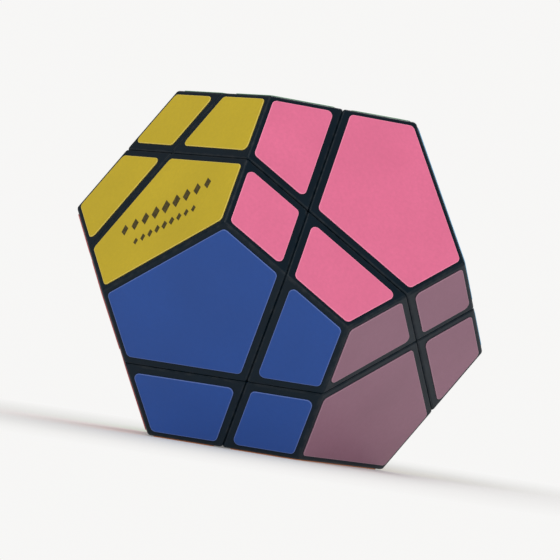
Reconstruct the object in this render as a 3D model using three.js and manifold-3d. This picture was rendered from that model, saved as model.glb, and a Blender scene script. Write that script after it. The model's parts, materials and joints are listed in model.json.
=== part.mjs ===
// Dodecahedron twisty puzzle, deep-cut type. Millimetres, +Z up, origin at the centre of the puzzle.
//
// Four planes through the centre cut a regular dodecahedron into eight corners and six edge pieces.
// Each plane stands square to one of four turning axes, and half of the puzzle turns about each axis.
// Four corners are screwed to the core with a spring under the screw head (axis corners). Under the
// outer layer each piece has a foot: edge-piece feet reach under the axis corners, and free-corner feet
// reach under the edge pieces. So the four screws hold all fourteen pieces.
//
// The model is made in the puzzle frame, where the six edge pieces point along +-X, +-Y and +-Z and the
// eight corners along (+-1, +-1, +-1). The exported group turns it until one face lies flat below.
import * as THREE from "three";
import { mergeVertices } from "three/addons/utils/BufferGeometryUtils.js";
import Module from "manifold-3d";

const wasm = await Module();
wasm.setup();

// Driving dimensions.
const FACE_TO_FACE = 60; // across two opposite pentagons
const GAP = 0.3; // running gap between pieces that turn past each other
const GLUE_GAP = 0.1; // between a cap and the foot it is glued to
const WALL = 1.6; // thickness of the moulded walls
const SHOULDER_R = 20; // sphere between the outer layer and the feet
const CORE_SEAT_R = 12.5; // sphere on which the feet ride round the core
const UNDERCUT = 2; // how far a foot reaches under its neighbour
const CORNER_SPLIT = 22.5; // height of the joint between cap and foot on a corner
const EDGE_SPLIT = 20.3; // the same on an edge piece
const PLUG_HEIGHT = 1.6; // the foot's spigot inside the cap
const POCKET_FLOOR = 15; // height of the bottom of the hollow in a foot
const LIGHTENING_R = 3.1; // blind holes in the core, between the screws
const LIGHTENING_FLOOR = 6.25;

// Screw, washer and spring, as distances from the centre along a turning axis.
const SCREW_R = 1.2;
const SCREW_TIP = 5;
const THREAD_DEPTH = 0.2;
const THREAD_PITCH = 1;
const HEAD_R = 2.3;
const HEAD_BASE = 23.5;
const HEAD_HEIGHT = 1.8;
const RECESS_LENGTH = 2.8; // crossed slots in the head
const RECESS_WIDTH = 0.7;
const WASHER_R = 2.7;
const WASHER_THICK = 0.5;
const SPRING_FLOOR = 18.2;
const SPRING_R = 2.15; // mean coil radius
const WIRE_R = 0.3;
const SPRING_TURNS = 4.5;
const WELL_R = 3; // counterbore that holds the spring
const BORE_R = 1.45; // running hole round the screw
const PILOT_R = 1.55; // hole in the core round the thread
const SEAT_GAP = 0.05; // axial play between stacked hardware

// Worked out from the dimensions above.
const PHI = (1 + Math.sqrt(5)) / 2;
const FACE_DIST = FACE_TO_FACE / 2;
const BIG = 3 * FACE_TO_FACE; // side of the block that stands for a half-space
const BALL_DETAIL = 3; // subdivisions of the faceted balls
const ROUND = 16; // sides of a round hole or rod
const SCREW_SIDES = 12;

const unit = (x, y, z) => new THREE.Vector3(x, y, z).normalize();
const UP = unit(0, 1, 0); // axis of three.js lathes and cylinders

const TURN_AXES = [unit(-1, 1, 1), unit(1, -1, 1), unit(1, 1, -1), unit(-1, -1, -1)];

// The twelve face normals: (+-1, 0, +-phi) and its cyclic shifts.
const FACE_NORMALS = [];
for (const a of [1, -1]) {
  for (const b of [PHI, -PHI]) {
    FACE_NORMALS.push(unit(a, 0, b), unit(b, a, 0), unit(0, b, a));
  }
}

// ---- solids from three.js geometry ----

function solid(geometry) {
  const bare = geometry.clone();
  for (const name of ["normal", "uv"]) {
    bare.deleteAttribute(name);
  }
  const merged = mergeVertices(bare, 1e-4);
  return new wasm.Manifold(
    new wasm.Mesh({
      numProp: 3,
      vertProperties: merged.attributes.position.array,
      triVerts: new Uint32Array(merged.index.array),
    }),
  );
}

function geometryOf(manifold) {
  const mesh = manifold.getMesh();
  const geometry = new THREE.BufferGeometry();
  geometry.setAttribute("position", new THREE.BufferAttribute(mesh.vertProperties, 3));
  geometry.setIndex(new THREE.BufferAttribute(mesh.triVerts, 1));
  return geometry.toNonIndexed();
}

// Everything with normal . p >= distance, as a large block.
function halfSpace(normal, distance) {
  const block = new THREE.BoxGeometry(BIG, BIG, BIG).translate(0, BIG / 2 + distance, 0);
  return solid(block.applyQuaternion(new THREE.Quaternion().setFromUnitVectors(UP, normal)));
}

// A faceted ball. Its corners lie on the radius, or its face centres do if faceted outside it.
function ball(radius, outside = false) {
  const geometry = new THREE.IcosahedronGeometry(radius, BALL_DETAIL);
  if (outside) {
    const p = geometry.getAttribute("position");
    let nearest = radius;
    for (let i = 0; i < p.count; i += 3) {
      const centre = new THREE.Vector3();
      for (const k of [0, 1, 2]) {
        centre.add(new THREE.Vector3().fromBufferAttribute(p, i + k));
      }
      nearest = Math.min(nearest, centre.length() / 3);
    }
    geometry.scale(radius / nearest, radius / nearest, radius / nearest);
  }
  return solid(geometry);
}

// A cylinder round the direction given, from one distance to another.
function rod(direction, radius, from, to) {
  const geometry = new THREE.CylinderGeometry(radius, radius, to - from, ROUND);
  geometry.translate(0, (from + to) / 2, 0);
  return solid(geometry.applyQuaternion(new THREE.Quaternion().setFromUnitVectors(UP, direction)));
}

const intersectAll = (list) => list.reduce((a, b) => a.intersect(b));

// ---- the regions that pieces are cut from ----

// The dodecahedron, with its faces moved in by a wall's thickness where asked.
const dodecahedron = (inset = 0) =>
  intersectAll(FACE_NORMALS.map((n) => halfSpace(n.clone().negate(), inset - FACE_DIST)));

// Outer layer: the wedge between the cutting planes that holds a direction.
const outerWedge = (direction, inset = 0) =>
  intersectAll(
    TURN_AXES.map((n) => {
      const side = Math.sign(n.dot(direction));
      return halfSpace(n.clone().multiplyScalar(side), GAP / 2 + inset);
    }),
  );

// Foot layer: each cut is moved away from the axis corner it turns with, by the undercut.
const footWedge = (direction, inset = 0) =>
  intersectAll(
    TURN_AXES.map((n) => {
      const side = Math.sign(n.dot(direction));
      return halfSpace(n.clone().multiplyScalar(side), GAP / 2 + inset - side * UNDERCUT);
    }),
  );

// One whole piece, from the core seat to the outer faces.
function wholePiece(direction) {
  const shoulder = ball(SHOULDER_R, true);
  const seat = ball(CORE_SEAT_R, true);
  const outer = outerWedge(direction);
  const foot = footWedge(direction);
  const crown = outer.subtract(shoulder);
  const tongue = foot.intersect(ball(SHOULDER_R - GAP));
  const neck = outer.intersect(foot);
  return crown.add(tongue).add(neck).intersect(dodecahedron()).subtract(seat);
}

// The hollow inside a cap, open at the bottom.
const capHollow = (direction, extra = 0) =>
  dodecahedron(WALL + extra).intersect(outerWedge(direction, WALL + extra));

// A piece is moulded as a hollow cap and a foot with a spigot that goes into it.
function capOf(direction, split) {
  const above = halfSpace(direction, split + GLUE_GAP);
  return wholePiece(direction).intersect(above).subtract(capHollow(direction));
}

function footOf(direction, split) {
  const below = halfSpace(direction.clone().negate(), -split);
  const spigot = intersectAll([
    capHollow(direction, GLUE_GAP),
    halfSpace(direction, split - WALL),
    halfSpace(direction.clone().negate(), -split - PLUG_HEIGHT),
  ]);
  return wholePiece(direction).intersect(below).add(spigot);
}

// A foot hollowed from above, for the pieces that carry no screw.
function hollowFoot(direction, split) {
  const pocket = intersectAll([
    outerWedge(direction, 2 * WALL),
    footWedge(direction, WALL),
    halfSpace(direction, POCKET_FLOOR),
  ]);
  return footOf(direction, split).subtract(pocket);
}

// An axis corner's foot: a running hole for the screw and a well for the spring.
function axisFoot(direction, split) {
  const bore = rod(direction, BORE_R, CORE_SEAT_R / 2, SPRING_FLOOR + WALL);
  const well = rod(direction, WELL_R, SPRING_FLOOR, BIG);
  return footOf(direction, split).subtract(bore).subtract(well);
}

// ---- core and hardware ----

function coreGeometry() {
  let core = ball(CORE_SEAT_R - GAP);
  for (const n of TURN_AXES) {
    const pilot = rod(n, PILOT_R, SCREW_TIP - SEAT_GAP, BIG);
    const lightening = rod(n.clone().negate(), LIGHTENING_R, LIGHTENING_FLOOR, BIG);
    core = core.subtract(pilot).subtract(lightening);
  }
  return geometryOf(core);
}

// Pan-head screw along +Y, from tip to head, with a crossed recess and thread ridges.
function screwGeometry() {
  const pitch = THREAD_PITCH;
  const threadEnd = CORE_SEAT_R - GAP;
  const profile = [new THREE.Vector2(0, SCREW_TIP), new THREE.Vector2(SCREW_R / 2, SCREW_TIP)];
  for (let y = SCREW_TIP + pitch; y < threadEnd - pitch; y += pitch) {
    profile.push(new THREE.Vector2(SCREW_R, y));
    profile.push(new THREE.Vector2(SCREW_R + THREAD_DEPTH, y + pitch / 3));
    profile.push(new THREE.Vector2(SCREW_R, y + (2 * pitch) / 3));
  }
  const crown = HEAD_BASE + HEAD_HEIGHT;
  profile.push(new THREE.Vector2(SCREW_R, HEAD_BASE));
  profile.push(new THREE.Vector2(HEAD_R, HEAD_BASE));
  profile.push(new THREE.Vector2(HEAD_R, crown - HEAD_HEIGHT / 2));
  profile.push(new THREE.Vector2(HEAD_R * 0.75, crown - HEAD_HEIGHT / 6));
  profile.push(new THREE.Vector2(0, crown));
  let screw = solid(new THREE.LatheGeometry(profile, SCREW_SIDES));
  for (const [x, z] of [
    [RECESS_LENGTH, RECESS_WIDTH],
    [RECESS_WIDTH, RECESS_LENGTH],
  ]) {
    const slot = new THREE.BoxGeometry(x, HEAD_HEIGHT, z).translate(0, crown, 0);
    screw = screw.subtract(solid(slot));
  }
  return geometryOf(screw);
}

function washerGeometry() {
  const bottom = HEAD_BASE - SEAT_GAP - WASHER_THICK;
  const top = HEAD_BASE - SEAT_GAP;
  return geometryOf(rod(UP, WASHER_R, bottom, top).subtract(rod(UP, BORE_R, 0, BIG)));
}

// Helical wire between the well's floor and the washer.
class Helix extends THREE.Curve {
  getPoint(t) {
    const low = SPRING_FLOOR + SEAT_GAP + WIRE_R;
    const high = HEAD_BASE - 2 * SEAT_GAP - WASHER_THICK - WIRE_R;
    const angle = t * SPRING_TURNS * 2 * Math.PI;
    return new THREE.Vector3(
      SPRING_R * Math.cos(angle),
      low + t * (high - low),
      -SPRING_R * Math.sin(angle),
    );
  }
}

function springGeometry() {
  const stepsPerTurn = 10;
  const wire = new THREE.Shape().absarc(0, 0, WIRE_R, 0, 2 * Math.PI);
  return new THREE.ExtrudeGeometry(wire, {
    extrudePath: new Helix(),
    steps: SPRING_TURNS * stepsPerTurn,
    curveSegments: 3,
  });
}

// ---- the assembly ----

const plastic = (color) => new THREE.MeshStandardMaterial({ color, roughness: 0.35, metalness: 0 });
const blackPlastic = plastic(0x14171a);
const footPlastic = plastic(0x1d2124);
const corePlastic = plastic(0xd9d6cc);
const steel = new THREE.MeshStandardMaterial({ color: 0xb8bcc0, roughness: 0.3, metalness: 1 });

function add(parent, name, geometry, material) {
  const mesh = new THREE.Mesh(geometry, material);
  mesh.name = name;
  parent.add(mesh);
  return mesh;
}

// Each kind of piece is made once, in its first place, and copied by turning it.
const AXIS_CORNER = unit(-1, 1, 1);
const FREE_CORNER = unit(1, 1, 1);
const EDGE_PIECE = unit(1, 0, 0);

// Four of a kind: the first place, and half turns about X, Y and Z.
const HALF_TURNS = [
  new THREE.Quaternion(),
  ...[unit(1, 0, 0), unit(0, 1, 0), unit(0, 0, 1)].map((axis) =>
    new THREE.Quaternion().setFromAxisAngle(axis, Math.PI),
  ),
];

// Six edge pieces: +X, +Y and +Z by third turns, each with the piece opposite.
const EDGE_PLACES = [0, 1, 2].flatMap((k) => {
  const third = new THREE.Quaternion().setFromAxisAngle(unit(1, 1, 1), (k * 2 * Math.PI) / 3);
  const opposite = third.clone().multiply(HALF_TURNS[3]);
  return [third, opposite];
});

function addPieces(parent, kind, cap, foot, places) {
  places.forEach((place, i) => {
    const piece = new THREE.Group();
    piece.quaternion.copy(place);
    add(piece, `${kind}_${i + 1}_cap`, cap, blackPlastic);
    add(piece, `${kind}_${i + 1}_foot`, foot, footPlastic);
    parent.add(piece);
  });
}

// Screw, washer and spring of each axis corner, stacked along its turning axis.
function addHardware(parent) {
  const screw = screwGeometry();
  const washer = washerGeometry();
  const spring = springGeometry();
  HALF_TURNS.forEach((place, i) => {
    const stack = new THREE.Group();
    const axis = AXIS_CORNER.clone().applyQuaternion(place);
    stack.quaternion.setFromUnitVectors(UP, axis);
    add(stack, `axis_screw_${i + 1}`, screw, steel);
    add(stack, `axis_washer_${i + 1}`, washer, steel);
    add(stack, `axis_spring_${i + 1}`, spring, steel);
    parent.add(stack);
  });
}

function buildPuzzle() {
  const puzzle = new THREE.Group();
  addPieces(
    puzzle,
    "axis_corner",
    geometryOf(capOf(AXIS_CORNER, CORNER_SPLIT)),
    geometryOf(axisFoot(AXIS_CORNER, CORNER_SPLIT)),
    HALF_TURNS,
  );
  addPieces(
    puzzle,
    "free_corner",
    geometryOf(capOf(FREE_CORNER, CORNER_SPLIT)),
    geometryOf(hollowFoot(FREE_CORNER, CORNER_SPLIT)),
    HALF_TURNS,
  );
  addPieces(
    puzzle,
    "edge_piece",
    geometryOf(capOf(EDGE_PIECE, EDGE_SPLIT)),
    geometryOf(hollowFoot(EDGE_PIECE, EDGE_SPLIT)),
    EDGE_PLACES,
  );
  add(puzzle, "core", coreGeometry(), corePlastic);
  addHardware(puzzle);
  return puzzle;
}

// Turns the puzzle frame so that one face is on top and another looks towards -Y.
function standOnFace(puzzle) {
  const top = unit(-PHI, 1, 0);
  const front = unit(1, 0, PHI);
  const right = new THREE.Vector3().crossVectors(top, front).normalize();
  const back = new THREE.Vector3().crossVectors(top, right);
  const basis = new THREE.Matrix4().makeBasis(right, back, top);
  puzzle.quaternion.setFromRotationMatrix(basis.transpose());
}

const puzzle = buildPuzzle();
standOnFace(puzzle);
const part = new THREE.Group();
part.add(puzzle);
export default part;
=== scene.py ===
"""Looks of the dodecahedron twisty puzzle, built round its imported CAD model.

Metres, +Z up, origin at the centre of the puzzle. Fourteen moulded caps and forty-eight stickers make
the outside; feet, core, screws, washers and springs make the inside. Every piece rides on the CAD body
that it belongs to.
"""
import json
import math
import random

import bmesh
import bpy
from mathutils import Matrix, Vector

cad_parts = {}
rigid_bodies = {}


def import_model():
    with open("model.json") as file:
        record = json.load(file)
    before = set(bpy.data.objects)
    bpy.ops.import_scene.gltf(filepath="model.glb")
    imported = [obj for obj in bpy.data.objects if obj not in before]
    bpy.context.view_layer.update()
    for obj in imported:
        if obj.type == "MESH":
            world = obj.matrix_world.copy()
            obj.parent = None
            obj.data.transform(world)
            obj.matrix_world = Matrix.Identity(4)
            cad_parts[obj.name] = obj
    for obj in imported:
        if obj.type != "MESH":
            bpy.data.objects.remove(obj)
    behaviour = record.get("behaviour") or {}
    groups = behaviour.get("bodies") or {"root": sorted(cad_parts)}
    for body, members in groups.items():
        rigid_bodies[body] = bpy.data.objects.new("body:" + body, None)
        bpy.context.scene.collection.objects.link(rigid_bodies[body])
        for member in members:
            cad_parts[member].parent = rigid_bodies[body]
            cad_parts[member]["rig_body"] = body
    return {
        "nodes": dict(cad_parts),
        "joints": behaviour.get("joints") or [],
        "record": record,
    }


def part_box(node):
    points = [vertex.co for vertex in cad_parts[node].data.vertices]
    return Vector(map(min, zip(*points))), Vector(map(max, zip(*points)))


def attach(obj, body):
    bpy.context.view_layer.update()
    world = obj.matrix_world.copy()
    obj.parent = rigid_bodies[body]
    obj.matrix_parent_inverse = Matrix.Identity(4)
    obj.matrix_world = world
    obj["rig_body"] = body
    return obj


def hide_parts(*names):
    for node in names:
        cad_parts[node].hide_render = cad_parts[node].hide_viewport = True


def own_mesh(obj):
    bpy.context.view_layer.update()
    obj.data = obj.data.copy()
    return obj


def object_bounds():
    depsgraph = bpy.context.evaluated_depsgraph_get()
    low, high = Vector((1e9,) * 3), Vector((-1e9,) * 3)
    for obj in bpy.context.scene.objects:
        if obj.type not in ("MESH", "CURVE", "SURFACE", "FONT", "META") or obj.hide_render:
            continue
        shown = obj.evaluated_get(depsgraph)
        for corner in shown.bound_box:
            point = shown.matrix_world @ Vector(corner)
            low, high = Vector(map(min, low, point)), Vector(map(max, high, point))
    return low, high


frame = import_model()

cad_low, cad_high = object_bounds()
random.seed(12)

# ---- sizes ----

MM = 0.001
PHI = (1 + math.sqrt(5)) / 2
FACE_DIST = (cad_high.z - cad_low.z) / 2
TOUCH = 1e-6  # closer than this counts as on a plane, or as one point

SEAM = 0.002 * MM  # between two caps, inside the running gap of the CAD pieces
CAP_ROUND = 0.45 * MM  # rounding of a cap's outer edges
CAP_STEPS = 4
WALL = 1.6 * MM
TOUCHED_FACE = math.cos(math.radians(75))  # of the widest angle between a piece and a face it touches

STICKER_THICK = 0.16 * MM
STICKER_SINK = 0.01 * MM  # how far the glue side sits in the cap, so that no light shows under it
CUT_MARGIN = 1.42 * MM  # from a turning cut to the sticker
EDGE_MARGIN = 0.88 * MM  # from an edge of the dodecahedron to the sticker
STICKER_CORNER = 0.95 * MM
STICKER_MIN_AREA = 1 * MM * MM  # a piece whose outline is smaller isn't on the face
CORNER_STEPS = 7
PLACING_SHIFT = 0.05 * MM  # how far a hand-placed sticker is off
PLACING_TURN = math.radians(0.25)

# The print on the large yellow sticker.
PRINT_ROWS = [  # distance from the middle of the face, pitch, and the middle diamond's width and height
    (6.6 * MM, 2.3 * MM, 1.9 * MM, 3.3 * MM),
    (11.0 * MM, 1.6 * MM, 1.3 * MM, 2.1 * MM),
]
PRINT_SIDE_COUNT = 4  # diamonds on each side of the middle one
PRINT_TAPER = 0.05  # how much smaller each diamond is than its inner neighbour
PRINT_SINK = 0.01 * MM
PRINT_RISE = 0.02 * MM

# Inside the puzzle. Lengths that the CAD nodes show are measured from them instead.
RUN_GAP = 0.3 * MM  # between pieces that turn past each other
GLUE_GAP = 0.1 * MM
UNDERCUT = 2 * MM  # how far a foot reaches under its neighbour
SHOULDER_R = 20 * MM
PLUG_HEIGHT = 1.6 * MM  # a foot's spigot inside its cap
POCKET_FLOOR = 15 * MM
SPRING_FLOOR = 18.2 * MM
WELL_R = 3 * MM
BORE_R = 1.45 * MM
PILOT_R = 1.55 * MM
PILOT_SPARE = 0.05 * MM  # of the screw hole below the screw's tip
LIGHTENING_R = 3.1 * MM
LIGHTENING_FLOOR = 6.25 * MM
MOUTH = 0.35 * MM  # chamfer at the mouth of a hole
BALL_STEPS = 6
SLIVER = 0.001 * MM  # edges shorter than this are collapsed
HOLE_STEPS = 40

WIRE_R = 0.3 * MM
SPRING_COILS = 5.5
CLOSED_COILS = 0.9  # turns that lie flat at each end of a spring
CLOSED_RISE = 2.04 * WIRE_R  # of one such turn, which just clears its own wire
COIL_STEPS = 26
WIRE_STEPS = 10

SCREW_STEPS = 40
THREAD_PITCH = 1.0 * MM
THREAD_DEPTH = 0.24 * MM
THREAD_RIDGE = 0.26  # half the width of its ridge, in pitches
THREAD_ROWS = 10  # rows in one pitch
THREAD_LENGTH = 7.6 * MM
POINT_ROWS = 6  # rows that the screw's point takes the place of
SHANK_R = 1.12 * MM

CAMERA_AZIMUTH = math.radians(16.6)
CAMERA_ELEVATION = math.radians(-1.5)
CAMERA_ROLL = math.radians(8.9)
CAMERA_DISTANCE = 0.62
VIEW_WIDTH = 0.098

# ---- the puzzle's own directions, from the CAD joints ----


def joint_axis(name):
    joint = next(j for j in frame["joints"] if j["name"] == name)
    return Vector(joint["axis"]).normalized()


TURN_AXES = [joint_axis(f"corner_{i}_lift") for i in (1, 2, 3, 4)]
PUZZLE_X = (TURN_AXES[2] + TURN_AXES[3]).normalized()
PUZZLE_Y = (TURN_AXES[0] + TURN_AXES[2]).normalized()
PUZZLE_Z = (TURN_AXES[0] + TURN_AXES[3]).normalized()


def puzzle_direction(x, y, z):
    return (x * PUZZLE_X + y * PUZZLE_Y + z * PUZZLE_Z).normalized()


# Each face's outward normal, by the sticker slot on it.
FACES = {
    "sticker_blue": puzzle_direction(1, 0, PHI),
    "sticker_pink": puzzle_direction(0, PHI, 1),
    "sticker_yellow": puzzle_direction(-1, 0, PHI),
    "sticker_purple": puzzle_direction(PHI, 1, 0),
    "sticker_orange": puzzle_direction(PHI, -1, 0),
    "sticker_red": puzzle_direction(0, -PHI, 1),
    "sticker_green": puzzle_direction(-PHI, 1, 0),
    "sticker_white": puzzle_direction(-PHI, -1, 0),
    "sticker_light_blue": puzzle_direction(0, PHI, -1),
    "sticker_lime": puzzle_direction(0, -PHI, -1),
    "sticker_cream": puzzle_direction(1, 0, -PHI),
    "sticker_grey": puzzle_direction(-1, 0, -PHI),
}

CORNERS = [a * side for a in TURN_AXES for side in (1, -1)]
EDGES = [a * side for a in (PUZZLE_X, PUZZLE_Y, PUZZLE_Z) for side in (1, -1)]


def symmetry_turns():
    """The twelve rotations that carry the four turning axes onto each other."""
    to_puzzle = Matrix((PUZZLE_X, PUZZLE_Y, PUZZLE_Z))
    turns = []
    for shift in range(3):
        for signs in ((1, 1, 1), (1, -1, -1), (-1, 1, -1), (-1, -1, 1)):
            rows = [[signs[r] if (r + shift) % 3 == c else 0 for c in range(3)] for r in range(3)]
            turns.append(to_puzzle.transposed() @ Matrix(rows) @ to_puzzle)
    return turns


def turn_onto(start, end):
    """A rotation of the puzzle that carries one piece's direction onto another's."""
    return min(symmetry_turns(), key=lambda turn: (turn @ start - end).length)


def piece_direction(node):
    """The corner or edge direction that a CAD cap points along."""
    low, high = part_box(node)
    middle = (low + high) / 2
    return max(CORNERS + EDGES, key=middle.dot)


def body_of_node(node):
    return frame["nodes"][node]["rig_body"]


CAPS = sorted(n for n in frame["nodes"] if n.endswith("_cap"))


def heights(node, direction):
    """Lowest and highest point of a CAD node along a direction through the centre."""
    found = [direction.dot(v.co) for v in frame["nodes"][node].data.vertices]
    return min(found), max(found)


def radii(node, axis):
    """(distance from the axis, height along it) of every vertex of a CAD node."""
    points = [v.co for v in frame["nodes"][node].data.vertices]
    return [((p - axis * axis.dot(p)).length, axis.dot(p)) for p in points]

# ---- meshes ----


def new_piece(name, mesh, material, body):
    piece = bpy.data.objects.new(name, mesh)
    bpy.context.scene.collection.objects.link(piece)
    mesh.materials.clear()
    mesh.materials.append(material)
    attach(piece, body)
    return piece


def cut_block(planes):
    """The convex body where normal . p <= distance for every (normal, distance)."""
    bm = bmesh.new()
    bmesh.ops.create_cube(bm, size=4 * FACE_DIST)
    for normal, distance in planes:
        parts = bm.verts[:] + bm.edges[:] + bm.faces[:]
        cut = bmesh.ops.bisect_plane(
            bm, geom=parts, dist=1e-7, plane_co=normal * distance, plane_no=normal, clear_outer=True
        )
        rim = [e for e in cut["geom_cut"] if isinstance(e, bmesh.types.BMEdge)]
        if rim:
            bmesh.ops.contextual_create(bm, geom=rim)
    bmesh.ops.recalc_face_normals(bm, faces=bm.faces)
    return bm


def mesh_of(bm, name):
    mesh = bpy.data.meshes.new(name)
    bm.to_mesh(mesh)
    bm.free()
    return mesh


def face_basis(normal):
    across = normal.orthogonal().normalized()
    return across, normal.cross(across)


def loft(name, loops, ring=False):
    """A closed mesh from loops of equal length that run anticlockwise seen from the last one.

    The ends are capped, or joined to each other where the loops make a ring.
    """
    bm = bmesh.new()
    rings = [[bm.verts.new(p) for p in loop] for loop in loops]
    pairs = list(zip(rings, rings[1:]))
    if ring:
        pairs.append((rings[-1], rings[0]))
    else:
        bm.faces.new(reversed(rings[0]))
        bm.faces.new(rings[-1])
    for low, high in pairs:
        for i in range(len(low)):
            j = (i + 1) % len(low)
            bm.faces.new((low[i], low[j], high[j], high[i]))
    return mesh_of(bm, name)


def circle(axis, radius, height, steps):
    """Points round an axis through the centre. The radius may be a function of the angle."""
    across, up = face_basis(axis)
    points = []
    for i in range(steps):
        angle = 2 * math.pi * i / steps
        r = radius(angle) if callable(radius) else radius
        points.append(axis * height + (across * math.cos(angle) + up * math.sin(angle)) * r)
    return points


def turned(name, axis, profile, steps, ring=False):
    """A turned solid. Its profile is (radius, height) pairs, going outwards round the section."""
    return loft(name, [circle(axis, r, h, steps) for r, h in profile], ring)


def carve(mesh, cutter, operation="DIFFERENCE"):
    """mesh with the cutter mesh taken away, or joined or intersected with it."""
    body = bpy.data.objects.new("carve_body", mesh)
    tool = bpy.data.objects.new("carve_tool", cutter)
    for o in (body, tool):
        bpy.context.scene.collection.objects.link(o)
    modifier = body.modifiers.new("carve", "BOOLEAN")
    modifier.operation = operation
    modifier.solver = "MANIFOLD"
    modifier.object = tool
    graph = bpy.context.evaluated_depsgraph_get()
    result = bpy.data.meshes.new_from_object(body.evaluated_get(graph))
    result.name = mesh.name
    for o in (body, tool):
        data = o.data
        bpy.data.objects.remove(o)
        bpy.data.meshes.remove(data)
    return result


def without_slivers(mesh):
    """The mesh with edges too short to see collapsed."""
    bm = bmesh.new()
    bm.from_mesh(mesh)
    bmesh.ops.dissolve_degenerate(bm, dist=SLIVER, edges=bm.edges)
    bmesh.ops.delete(bm, geom=[e for e in bm.edges if not e.link_faces], context="EDGES")
    bmesh.ops.delete(bm, geom=[v for v in bm.verts if not v.link_faces], context="VERTS")
    bm.to_mesh(mesh)
    bm.free()
    return mesh


def smooth(piece, angle_deg):
    """Rounded edges shade as round and flat faces stay flat."""
    piece.data.shade_smooth()
    piece.data.set_sharp_from_angle(angle=math.radians(angle_deg))
    even = piece.modifiers.new("even_normals", "WEIGHTED_NORMAL")
    even.keep_sharp = True


def write_attribute(mesh, name, values):
    attribute = mesh.attributes.new(name, "FLOAT", "POINT")
    attribute.data.foreach_set("value", values)


# ---- materials ----


class Graph:
    """The node graph of one material. An input takes a plain value or another node's output."""

    def __init__(self, name):
        self.material = bpy.data.materials.new(name)
        self.material.use_nodes = True
        self.tree = self.material.node_tree
        self.shader = self.tree.nodes["Principled BSDF"]
        self.place = self.add("TexCoord").outputs["Object"]

    def add(self, kind, inputs=None, **settings):
        node = self.tree.nodes.new("ShaderNode" + kind)
        for key, value in settings.items():
            setattr(node, key, value)
        for key, value in (inputs or {}).items():
            self.put(node.inputs[key], value)
        return node

    def put(self, socket, value):
        if isinstance(value, bpy.types.NodeSocket):
            self.tree.links.new(value, socket)
        else:
            socket.default_value = value

    def noise(self, size_mm, detail=3, roughness=0.5, place=None):
        """Noise from 0 to 1 with features of about this size."""
        node = self.add(
            "TexNoise",
            {
                "Vector": place or self.place,
                "Scale": 1 / (size_mm * MM),
                "Detail": detail,
                "Roughness": roughness,
            },
        )
        return node.outputs["Fac"]

    def spread(self, value, from_low, from_high, to_low, to_high):
        node = self.add(
            "MapRange",
            {
                "Value": value,
                "From Min": from_low,
                "From Max": from_high,
                "To Min": to_low,
                "To Max": to_high,
            },
            clamp=True,
        )
        return node.outputs["Result"]

    def math(self, operation, a, b):
        node = self.add("Math", {0: a, 1: b}, operation=operation)
        return node.outputs[0]

    def mix(self, factor, a, b):
        node = self.add("MixRGB", {"Fac": factor, "Color1": a, "Color2": b})
        return node.outputs["Color"]

    def attribute(self, name):
        return self.add("Attribute", attribute_name=name).outputs["Fac"]

    def stretched(self, x, y, z):
        """Object coordinates scaled along the axes, for brushed marks and scratches."""
        node = self.add("Mapping", {"Vector": self.place, "Scale": (x, y, z)})
        return node.outputs["Vector"]

    def bump(self, height, strength, depth_mm, under=None):
        inputs = {"Height": height, "Strength": strength, "Distance": depth_mm * MM}
        if under is not None:
            inputs["Normal"] = under
        return self.add("Bump", inputs).outputs["Normal"]

    def finish(self, **inputs):
        for key, value in inputs.items():
            self.put(self.shader.inputs[key.replace("_", " ")], value)
        return self.material


def colour(rgb):
    return (*rgb, 1)


def slot_colour(slot):
    materials = frame["record"]["materials"]
    return next(m["base_color"] for m in materials if m["slot"] == slot)


def shade(rgb, factor):
    return colour([min(1, c * factor) for c in rgb])


def toward(rgb, other, share):
    return colour([c + (o - c) * share for c, o in zip(rgb, other)])


def cap_plastic():
    """Black moulded ABS, semi-gloss, polished by handling along its rounded edges."""
    g = Graph("cap_plastic")
    rgb = slot_colour("cap_plastic")
    clouds = g.noise(7, detail=4)
    base = g.mix(clouds, shade(rgb, 0.8), shade(rgb, 1.5))
    worn = g.math("MULTIPLY", g.attribute("wear"), g.spread(g.noise(1.3, detail=6), 0.42, 0.66, 0, 1))
    base = g.mix(worn, base, toward(rgb, (0.2, 0.2, 0.2), 0.06))
    fine_scratches = g.noise(0.35, detail=2, place=g.stretched(1, 9, 1))
    marks = g.spread(fine_scratches, 0.60, 0.70, 0, 0.10)
    roughness = g.math("ADD", g.spread(g.noise(4, detail=5), 0.2, 0.8, 0.29, 0.44), marks)
    grain = g.bump(g.noise(0.22, detail=2), 0.16, 0.02)
    swell = g.bump(g.noise(9, detail=1), 0.25, 0.05, under=grain)
    return g.finish(Base_Color=base, Roughness=roughness, Normal=swell, Specular_IOR_Level=0.2)


def foot_plastic():
    """The same ABS, satin, with a thin uneven film of grease."""
    g = Graph("foot_plastic")
    rgb = slot_colour("foot_plastic")
    film = g.noise(3, detail=5)
    base = g.mix(film, shade(rgb, 0.85), shade(rgb, 1.3))
    roughness = g.spread(film, 0.2, 0.8, 0.29, 0.55)
    grain = g.bump(g.noise(0.3, detail=3), 0.2, 0.02)
    return g.finish(Base_Color=base, Roughness=roughness, Normal=grain)


def core_plastic():
    """Natural nylon, slightly waxy, with faint darker rub marks."""
    g = Graph("core_plastic")
    rgb = slot_colour("core_plastic")
    rubbed = g.spread(g.noise(2.5, detail=6), 0.5, 0.7, 0, 0.6)
    base = g.mix(rubbed, shade(rgb, 1.0), shade(rgb, 0.72))
    roughness = g.spread(g.noise(1.2, detail=4), 0.3, 0.7, 0.34, 0.52)
    grain = g.bump(g.noise(0.5, detail=3), 0.2, 0.02)
    return g.finish(
        Base_Color=base,
        Roughness=roughness,
        Normal=grain,
        Subsurface_Weight=0.15,
        Subsurface_Scale=0.5 * MM,
    )


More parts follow.
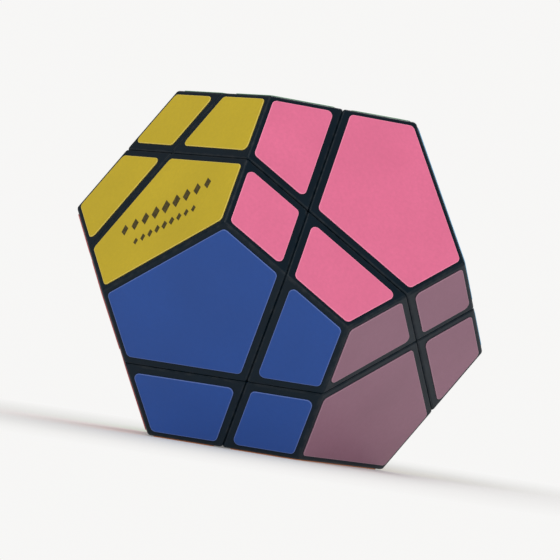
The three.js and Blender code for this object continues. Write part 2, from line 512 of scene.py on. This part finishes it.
def steel():
    """Zinc-plated steel with fine turning marks and a little spangle."""
    g = Graph("steel")
    rgb = slot_colour("steel")
    spangle = g.noise(0.8, detail=4)
    base = g.mix(spangle, shade(rgb, 0.8), shade(rgb, 1.2))
    marks = g.noise(0.12, detail=3, place=g.stretched(1, 1, 12))
    roughness = g.spread(marks, 0.2, 0.8, 0.29, 0.42)
    grain = g.bump(marks, 0.12, 0.01)
    return g.finish(Base_Color=base, Metallic=1.0, Roughness=roughness, Normal=grain)


def sticker_vinyl(slot):
    """Coloured vinyl: soft swell from the glue under it, fine peel, and a highlight painted along the cut
    edge.
    """
    g = Graph(slot)
    rgb = slot_colour(slot)
    clouds = g.spread(g.noise(14, detail=2), 0.25, 0.75, 0, 1)
    base = g.mix(clouds, shade(rgb, 0.93), shade(rgb, 1.06))
    mottle = g.spread(g.noise(0.6, detail=4), 0.2, 0.8, 0, 0.5)
    base = g.mix(mottle, base, shade(rgb, 0.82))
    # painted highlight: where the rim attribute marks the cut edge, it is lightened towards white to stand
    # in for light catching that edge
    base = g.mix(g.attribute("rim"), base, toward(shade(rgb, 1.3), (1, 1, 1), 0.1))
    roughness = g.spread(g.noise(5, detail=5), 0.2, 0.8, 0.29, 0.40)
    peel = g.bump(g.noise(0.9, detail=2), 0.1, 0.02)
    swell = g.bump(g.noise(8, detail=1), 0.22, 0.06, under=peel)
    return g.finish(Base_Color=base, Roughness=roughness, Normal=swell)


def print_ink():
    """Matt dark ink, a little thin in places."""
    g = Graph("print_ink")
    rgb = slot_colour("print_ink")
    thin = g.spread(g.noise(0.4, detail=4), 0.35, 0.7, 0, 1)
    base = g.mix(thin, shade(rgb, 0.75), shade(rgb, 1.85))
    roughness = g.spread(thin, 0, 1, 0.45, 0.6)
    return g.finish(Base_Color=base, Roughness=roughness, Specular_IOR_Level=0.25)


# ---- caps ----


def turn_planes(direction, gap):
    """The turning cuts round a piece, as (outward normal, distance)."""
    planes = []
    for axis in TURN_AXES:
        side = 1 if axis.dot(direction) > 0 else -1
        planes.append((-side * axis, -gap))
    return planes


def face_planes(direction, inset=0.0):
    """The faces of the dodecahedron that a piece touches."""
    return [(n, FACE_DIST - inset) for n in FACES.values() if n.dot(direction) > TOUCHED_FACE]


def make_cap(node, material):
    direction = piece_direction(node)
    base = heights(node, direction)[0]
    outer = turn_planes(direction, SEAM / 2) + face_planes(direction) + [(-direction, -base)]
    bm = cut_block(outer)
    on_base = [e for e in bm.edges if all(abs(direction.dot(v.co) - base) < TOUCH for v in e.verts)]
    rounded = [e for e in bm.edges if e not in on_base]
    bmesh.ops.bevel(
        bm,
        geom=rounded,
        offset=CAP_ROUND,
        offset_type="OFFSET",
        segments=CAP_STEPS,
        profile=0.5,
        affect="EDGES",
    )
    inner = turn_planes(direction, WALL) + face_planes(direction, WALL) + [(-direction, WALL - base)]
    mesh = carve(mesh_of(bm, node), mesh_of(cut_block(inner), "hollow"))
    flats = outer + inner
    write_attribute(
        mesh,
        "wear",
        [0.0 if any(abs(n.dot(v.co) - d) < 2 * TOUCH for n, d in flats) else 1.0 for v in mesh.vertices],
    )
    cap = new_piece(node.replace("_cap", "_shell"), mesh, material, body_of_node(node))
    smooth(cap, 35)
    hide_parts(node)


# ---- stickers ----


def sticker_lines(normal, direction):
    """The lines round one sticker in its face's plane, as (x, y, limit): inside is x*u + y*v <= limit."""
    across, up = face_basis(normal)
    lines = []
    cuts = [(n, d, CUT_MARGIN) for n, d in turn_planes(direction, 0)]
    edges = [(n, FACE_DIST, EDGE_MARGIN) for n in FACES.values() if n is not normal]
    for n, distance, margin in cuts + edges:
        x, y = n.dot(across), n.dot(up)
        length = math.hypot(x, y)
        if length > TOUCH:
            lines.append((x / length, y / length, (distance - FACE_DIST * n.dot(normal)) / length - margin))
    return lines


def clip(corners, line):
    """A convex outline with everything past the line cut off."""
    x, y, limit = line
    kept = []
    for a, b in zip(corners, corners[1:] + corners[:1]):
        past_a = x * a[0] + y * a[1] - limit
        past_b = x * b[0] + y * b[1] - limit
        if past_a <= 0:
            kept.append(a)
        if (past_a < 0) != (past_b < 0):
            share = past_a / (past_a - past_b)
            kept.append((a[0] + share * (b[0] - a[0]), a[1] + share * (b[1] - a[1])))
    return kept


def area(corners):
    pairs = zip(corners, corners[1:] + corners[:1])
    return sum(a[0] * b[1] - b[0] * a[1] for a, b in pairs) / 2


def outline(normal, direction):
    """Corners of the sticker of one piece on one face, or None where the piece isn't on the face."""
    reach = 2 * FACE_DIST
    corners = [(-reach, -reach), (reach, -reach), (reach, reach), (-reach, reach)]
    for line in sticker_lines(normal, direction):
        corners = clip(corners, line)
    merged = [c for c, d in zip(corners, corners[1:] + corners[:1]) if math.dist(c, d) > TOUCH]
    if len(merged) < 3 or area(merged) < STICKER_MIN_AREA:
        return None
    return merged


def corner_arcs(corners, radius):
    """(centre, unit direction) of every point on an outline whose corners are rounded."""
    points = []
    count = len(corners)
    for k in range(count):
        before, here, after = (Vector(corners[(k + i) % count]) for i in (-1, 0, 1))
        along_in, along_out = (here - before).normalized(), (after - here).normalized()
        n_in, n_out = Vector((along_in.y, -along_in.x)), Vector((along_out.y, -along_out.x))
        centre = here - (n_in + n_out) * (radius / (1 + n_in.dot(n_out)))
        start = math.atan2(n_in.y, n_in.x)
        sweep = (math.atan2(n_out.y, n_out.x) - start) % (2 * math.pi)
        for i in range(CORNER_STEPS + 1):
            angle = start + sweep * i / CORNER_STEPS
            points.append((centre, Vector((math.cos(angle), math.sin(angle)))))
    return points


# Height, inset and paleness of each loop of a sticker, from the glue side to the middle of the top. The
# paleness is a painted highlight where light catches the cut edge.
STICKER_PROFILE = [
    (-STICKER_SINK, 0.0, 0.5),
    (STICKER_THICK - 0.06 * MM, 0.0, 0.7),
    (STICKER_THICK - 0.02 * MM, 0.02 * MM, 1.0),
    (STICKER_THICK, 0.06 * MM, 0.8),
    (STICKER_THICK, 0.16 * MM, 0.0),
    (STICKER_THICK, 0.5 * MM, 0.0),
]


def make_sticker(name, normal, direction, material, body):
    across, up = face_basis(normal)
    corners = outline(normal, direction)
    middle = sum((Vector(c) for c in corners), Vector((0, 0))) / len(corners)
    shift = Vector((random.uniform(-1, 1), random.uniform(-1, 1))) * PLACING_SHIFT
    turn = Matrix.Rotation(random.uniform(-1, 1) * PLACING_TURN, 2)
    arcs = corner_arcs(corners, STICKER_CORNER)
    loops, painted_rim_highlight = [], []
    for height, inset, pale in STICKER_PROFILE:
        loop = []
        for centre, out in arcs:
            p = turn @ (centre + out * (STICKER_CORNER - inset) - middle) + middle + shift
            loop.append(normal * (FACE_DIST + height) + across * p.x + up * p.y)
            painted_rim_highlight.append(pale)
        loops.append(loop)
    mesh = loft(name, loops)
    # the rim attribute carries the painted highlight along the sticker's cut edge
    write_attribute(mesh, "rim", painted_rim_highlight)
    sticker = new_piece(name, mesh, material, body)
    smooth(sticker, 60)
    return sticker


def plates(name, outlines, normal, low, high):
    """Flat plates in a face's plane, with these outlines, between two heights above the face."""
    across, up = face_basis(normal)
    bm = bmesh.new()
    for corners in outlines:
        loops = []
        for height in (low, high):
            loops.append([normal * (FACE_DIST + height) + across * p.x + up * p.y for p in corners])
        bm.from_mesh(loft(name, loops))
    return mesh_of(bm, name)


def diamond(centre, along, width, height):
    side = Vector((-along.y, along.x)) * height / 2
    end = along * width / 2
    return [centre + p for p in (end, side, -end, -side)]


def make_print(normal, direction, node):
    """Two rows of diamonds, printed on one piece's sticker."""
    across, up = face_basis(normal)
    along = Vector((PUZZLE_Y.dot(across), PUZZLE_Y.dot(up))).normalized()
    outward = Vector((direction.dot(across), direction.dot(up))).normalized()
    outlines = []
    for distance, pitch, width, height in PRINT_ROWS:
        for i in range(-PRINT_SIDE_COUNT, PRINT_SIDE_COUNT + 1):
            size = 1 - PRINT_TAPER * abs(i)
            place = outward * distance + along * i * pitch
            outlines.append(diamond(place, along, width * size, height * size))
    mesh = plates(f"{node}_print", outlines, normal, STICKER_THICK - PRINT_SINK, STICKER_THICK + PRINT_RISE)
    marks = new_piece(f"{node}_print", mesh, print_ink(), body_of_node(f"{node}_cap"))


def make_stickers():
    materials = {slot: sticker_vinyl(slot) for slot in FACES}
    for node in CAPS:
        direction = piece_direction(node)
        for slot, normal in FACES.items():
            if normal.dot(direction) > 0 and outline(normal, direction):
                name = node.replace("_cap", "_") + slot
                make_sticker(name, normal, direction, materials[slot], body_of_node(node))
    make_print(FACES["sticker_yellow"], PUZZLE_Z, "edge_piece_5")


# ---- feet ----


def ball(radius):
    bm = bmesh.new()
    bmesh.ops.create_icosphere(bm, subdivisions=BALL_STEPS, radius=radius)
    return mesh_of(bm, "ball")


def foot_planes(direction, gap):
    """The cuts below the shoulder, moved away from each axis corner by the undercut."""
    planes = []
    for axis in TURN_AXES:
        side = 1 if axis.dot(direction) > 0 else -1
        planes.append((-side * axis, side * UNDERCUT - gap))
    return planes


def hole(axis, radius, low, high, mouth_height=None):
    """A round cutter along an axis, widened by a chamfer round its mouth where that height is given."""
    profile = [(radius, low), (radius, high)]
    if mouth_height is not None:
        profile = [
            (radius, low),
            (radius, mouth_height - MOUTH),
            (radius + 2 * MOUTH, mouth_height + MOUTH),
            (radius + 2 * MOUTH, high),
        ]
    return turned("hole", axis, profile, HOLE_STEPS)


def foot_mesh(node, direction):
    """One foot: a crown under the cap, a tongue under the neighbours, and a neck between them."""
    seat, split = foot_limits(node, direction)
    below = [(direction, split)] + face_planes(direction)
    outer, inner = turn_planes(direction, RUN_GAP / 2), foot_planes(direction, RUN_GAP / 2)
    crown = carve(mesh_of(cut_block(outer + below), node), ball(SHOULDER_R))
    tongue = carve(mesh_of(cut_block(inner + below), node), ball(SHOULDER_R - RUN_GAP), "INTERSECT")
    neck = mesh_of(cut_block(outer + inner + below), node)
    foot = carve(carve(crown, tongue, "UNION"), neck, "UNION")
    foot = carve(foot, ball(seat))
    plug = WALL + GLUE_GAP
    spigot = turn_planes(direction, plug) + face_planes(direction, plug)
    spigot += [(direction, split + PLUG_HEIGHT), (-direction, WALL - split)]
    foot = carve(foot, mesh_of(cut_block(spigot), node), "UNION")
    if node.startswith("axis"):
        top = split + PLUG_HEIGHT
        foot = carve(foot, hole(direction, BORE_R, seat / 2, split))
        return carve(foot, hole(direction, WELL_R, SPRING_FLOOR, 2 * FACE_DIST, top))
    pocket = turn_planes(direction, 2 * WALL) + foot_planes(direction, WALL)
    pocket.append((-direction, -POCKET_FLOOR))
    return carve(foot, mesh_of(cut_block(pocket), node))


def foot_limits(node, direction):
    """Radius of a foot's seat on the core, and height of its joint with the cap."""
    seat = min(v.co.length for v in frame["nodes"][node].data.vertices)
    return seat, heights(node.replace("_foot", "_cap"), direction)[0] - GLUE_GAP


def make_feet(material):
    """One foot of each kind is made, and the others are copies of it turned into place."""
    first = {}
    for cap_node in CAPS:
        node = cap_node.replace("_cap", "_foot")
        direction = piece_direction(cap_node)
        kind = node.split("_")[0]
        if kind not in first:
            first[kind] = (without_slivers(foot_mesh(node, direction)), direction)
        pattern, start = first[kind]
        mesh = pattern.copy()
        mesh.transform(turn_onto(start, direction).to_4x4())
        foot = new_piece(node.replace("_foot", "_base"), mesh, material, body_of_node(node))
        smooth(foot, 30)
        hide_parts(node)


# ---- core and hardware ----


def make_core(material):
    """A ball with a screw hole on each axis and a blind hole opposite it."""
    radius = max(v.co.length for v in frame["nodes"]["core"].data.vertices)
    tip = heights("axis_screw_1", TURN_AXES[0])[0]
    mesh = ball(radius)
    for axis in TURN_AXES:
        mesh = carve(mesh, hole(axis, PILOT_R, tip - PILOT_SPARE, 2 * radius, radius))
        mesh = carve(mesh, hole(-axis, LIGHTENING_R, LIGHTENING_FLOOR, 2 * radius, radius))
    core = new_piece("core_ball", without_slivers(mesh), material, body_of_node("core"))
    smooth(core, 30)
    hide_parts("core")


def thread(height, start, end):
    """Radius of the thread at a height, as a function of the angle; it runs out at both ends."""
    fade = min(1, (height - start) / THREAD_PITCH, (end - height) / THREAD_PITCH)

    def radius(angle):
        phase = (height / THREAD_PITCH - angle / (2 * math.pi)) % 1
        ridge = max(0, 1 - abs(phase - 0.5) / THREAD_RIDGE)
        return SHANK_R + THREAD_DEPTH * ridge * max(0, fade)

    return radius


def screw_mesh(node, axis):
    """A self-tapping pan-head screw with a crossed recess."""
    tip, crown = heights(node, axis)
    head_r = max(r for r, _ in radii(node, axis))
    head_base = min(h for r, h in radii(node, axis) if r > 0.9 * head_r)
    end = tip + THREAD_LENGTH
    rows = round(THREAD_LENGTH / THREAD_PITCH * THREAD_ROWS)
    point = ((0.45 * SHANK_R, tip), (0.8 * SHANK_R, tip + 0.3 * MM))
    loops = [circle(axis, r, h, SCREW_STEPS) for r, h in point]
    for i in range(POINT_ROWS, rows + 1):
        height = tip + THREAD_LENGTH * i / rows
        loops.append(circle(axis, thread(height, tip, end), height, SCREW_STEPS))
    fillet = 0.15 * MM
    tall = crown - head_base
    head = [
        (SHANK_R, head_base - fillet),
        (SHANK_R + fillet, head_base),
        (head_r - 0.1 * MM, head_base),
        (head_r, head_base + 0.1 * MM),
        (head_r, head_base + 0.45 * tall),
        (0.97 * head_r, head_base + 0.62 * tall),
        (0.88 * head_r, head_base + 0.78 * tall),
        (0.72 * head_r, head_base + 0.90 * tall),
        (0.5 * head_r, head_base + 0.97 * tall),
        (0.25 * head_r, crown),
    ]
    loops += [circle(axis, r, h, SCREW_STEPS) for r, h in head]
    return carve(loft(node, loops), cross_cutter(axis, head_base, crown, head_r))


def cross_cutter(axis, low, high, head_r):
    """A tapered cross for the driver."""
    across, up = face_basis(axis)
    loops = []
    for height, arm, half_width in (
        (low + 0.1 * MM, 0.22 * head_r, 0.08 * head_r),
        (high + 0.5 * MM, 0.68 * head_r, 0.17 * head_r),
    ):
        a, w = arm, half_width
        quarter = [(a, -w), (a, w), (w, w)]
        loop = []
        for _ in range(4):
            loop += quarter
            quarter = [(-y, x) for x, y in quarter]
        loops.append([axis * height + across * x + up * y for x, y in loop])
    return loft("cross", loops)


def washer_mesh(node, axis):
    """A flat ring with rounded rims."""
    low, high = heights(node, axis)
    inner = min(r for r, _ in radii(node, axis))
    outer = max(r for r, _ in radii(node, axis))
    soft = 0.12 * MM
    profile = [
        (inner, low + soft),
        (inner + 0.3 * soft, low + 0.3 * soft),
        (inner + soft, low),
        (outer - soft, low),
        (outer - 0.3 * soft, low + 0.3 * soft),
        (outer, low + soft),
        (outer, high - soft),
        (outer - 0.3 * soft, high - 0.3 * soft),
        (outer - soft, high),
        (inner + soft, high),
        (inner + 0.3 * soft, high - 0.3 * soft),
        (inner, high - soft),
    ]
    return turned(node, axis, profile, SCREW_STEPS, ring=True)


def spring_mesh(node, axis):
    """A compression spring whose first and last turns lie flat."""
    low, high = heights(node, axis)
    coil_r = max(r for r, _ in radii(node, axis)) - WIRE_R
    low, high = low + WIRE_R, high - WIRE_R
    flat = CLOSED_RISE * CLOSED_COILS
    middle = SPRING_COILS - 2 * CLOSED_COILS
    across, up = face_basis(axis)
    count = round(SPRING_COILS * COIL_STEPS)
    loops = []
    for i in range(count + 1):
        coil = SPRING_COILS * i / count
        if coil < CLOSED_COILS:
            height = low + flat * coil / CLOSED_COILS
        elif coil > CLOSED_COILS + middle:
            height = high - flat * (SPRING_COILS - coil) / CLOSED_COILS
        else:
            height = low + flat + (high - low - 2 * flat) * (coil - CLOSED_COILS) / middle
        angle = 2 * math.pi * coil
        out = across * math.cos(angle) + up * math.sin(angle)
        loop = []
        for k in range(WIRE_STEPS):
            turn = 2 * math.pi * k / WIRE_STEPS
            loop.append(axis * (height + WIRE_R * math.sin(turn)) + out * (coil_r - WIRE_R * math.cos(turn)))
        loops.append(loop)
    return loft(node, loops)


def make_hardware(material):
    for i, axis in enumerate(TURN_AXES, 1):
        for kind, build in (("screw", screw_mesh), ("washer", washer_mesh), ("spring", spring_mesh)):
            node = f"axis_{kind}_{i}"
            piece = new_piece(f"{kind}_{i}", build(node, axis), material, body_of_node(node))
            smooth(piece, 35)
            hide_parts(node)
            if kind == "spring":
                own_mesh(piece)


# ---- stage ----


def soft_light(name, size, place, power):
    """A rectangular light that points at the puzzle."""
    light = bpy.data.lights.new(name, "AREA")
    light.shape = "RECTANGLE"
    light.size, light.size_y = size
    light.energy = power
    lamp = bpy.data.objects.new(name, light)
    lamp.location = place
    lamp.rotation_mode = "QUATERNION"
    lamp.rotation_quaternion = (-Vector(place)).to_track_quat("-Z", "Y")
    bpy.context.scene.collection.objects.link(lamp)


# How bright the surroundings are: to the camera, as a light, and in reflections.
BACKGROUND = 0.93
AIR_LIGHT = 0.55
AIR_REFLECTION = 0.22
FLOOR_REFLECTION = 0.6
AIR_TINT = (1.0, 0.995, 0.985)

FLOOR_ALBEDO = 0.9
FLOOR_RADIUS = 3.0
FLOOR_DROP = 1.1 * STICKER_THICK  # below the face that the puzzle rests on
FADE_START, FADE_END = 0.025, 0.13  # distances from the centre between which the floor fades


def make_floor():
    """A pale disc that fades into the background, open to a camera below it."""
    bm = bmesh.new()
    bmesh.ops.create_circle(bm, cap_ends=True, segments=96, radius=FLOOR_RADIUS)
    floor = bpy.data.objects.new("floor", mesh_of(bm, "floor"))
    floor.location.z = cad_low.z - FLOOR_DROP
    bpy.context.scene.collection.objects.link(floor)
    g = Graph("floor")
    g.finish(Base_Color=shade(AIR_TINT, FLOOR_ALBEDO), Roughness=0.6)
    length = g.add("VectorMath", {0: g.place}, operation="LENGTH").outputs["Value"]
    fade = g.spread(length, FADE_START, FADE_END, 0.2, 1)
    glossy = g.add("LightPath").outputs["Is Glossy Ray"]
    strength = g.spread(glossy, 0, 1, BACKGROUND, FLOOR_REFLECTION)
    far = g.add("Emission", {"Color": colour(AIR_TINT), "Strength": strength}).outputs[0]
    near_far = g.add("MixShader", {0: fade, 1: g.shader.outputs[0], 2: far}).outputs[0]
    from_below = g.add("NewGeometry").outputs["Backfacing"]
    clear = g.add("BsdfTransparent").outputs[0]
    out = g.tree.nodes["Material Output"].inputs["Surface"]
    g.put(out, g.add("MixShader", {0: from_below, 1: near_far, 2: clear}).outputs[0])
    floor.data.materials.append(g.material)


def make_world():
    """Even studio air: pale to the camera, dimmer as a light and in reflections."""
    world = bpy.data.worlds.new("world")
    world.use_nodes = True
    tree = world.node_tree
    rays = tree.nodes.new("ShaderNodeLightPath").outputs
    background = tree.nodes["Background"]
    background.inputs["Color"].default_value = colour(AIR_TINT)
    strength = AIR_LIGHT
    for ray, value in (("Is Glossy Ray", AIR_REFLECTION), ("Is Camera Ray", BACKGROUND)):
        pick = tree.nodes.new("ShaderNodeMix")
        tree.links.new(rays[ray], pick.inputs["Factor"])
        if isinstance(strength, float):
            pick.inputs["A"].default_value = strength
        else:
            tree.links.new(strength, pick.inputs["A"])
        pick.inputs["B"].default_value = value
        strength = pick.outputs["Result"]
    tree.links.new(strength, background.inputs["Strength"])
    bpy.context.scene.world = world


def make_camera():
    back = Vector(
        (
            math.sin(CAMERA_AZIMUTH) * math.cos(CAMERA_ELEVATION),
            -math.cos(CAMERA_AZIMUTH) * math.cos(CAMERA_ELEVATION),
            math.sin(CAMERA_ELEVATION),
        )
    )
    data = bpy.data.cameras.new("camera")
    data.sensor_width = 36
    data.lens = data.sensor_width * CAMERA_DISTANCE / VIEW_WIDTH
    data.clip_start = 0.01
    camera = bpy.data.objects.new("camera", data)
    turn = (-back).to_track_quat("-Z", "Y").to_matrix().to_4x4() @ Matrix.Rotation(CAMERA_ROLL, 4, "Z")
    camera.matrix_world = Matrix.Translation(back * CAMERA_DISTANCE) @ turn
    bpy.context.scene.collection.objects.link(camera)
    bpy.context.scene.camera = camera


def make_stage():
    make_floor()
    make_world()
    soft_light("key", (0.5, 0.5), (-0.20, -0.70, 0.75), 3.2)
    soft_light("fill", (1.1, 0.8), (0.75, -0.60, 0.10), 3.2)
    soft_light("back", (0.6, 0.3), (0.1, 0.7, 0.6), 2.0)
    make_camera()
    bpy.context.scene.view_settings.view_transform = "Standard"


# ---- build ----

black = cap_plastic()
for cap_node in CAPS:
    make_cap(cap_node, black)
make_stickers()

make_feet(foot_plastic())
make_core(core_plastic())
make_hardware(steel())
make_stage()
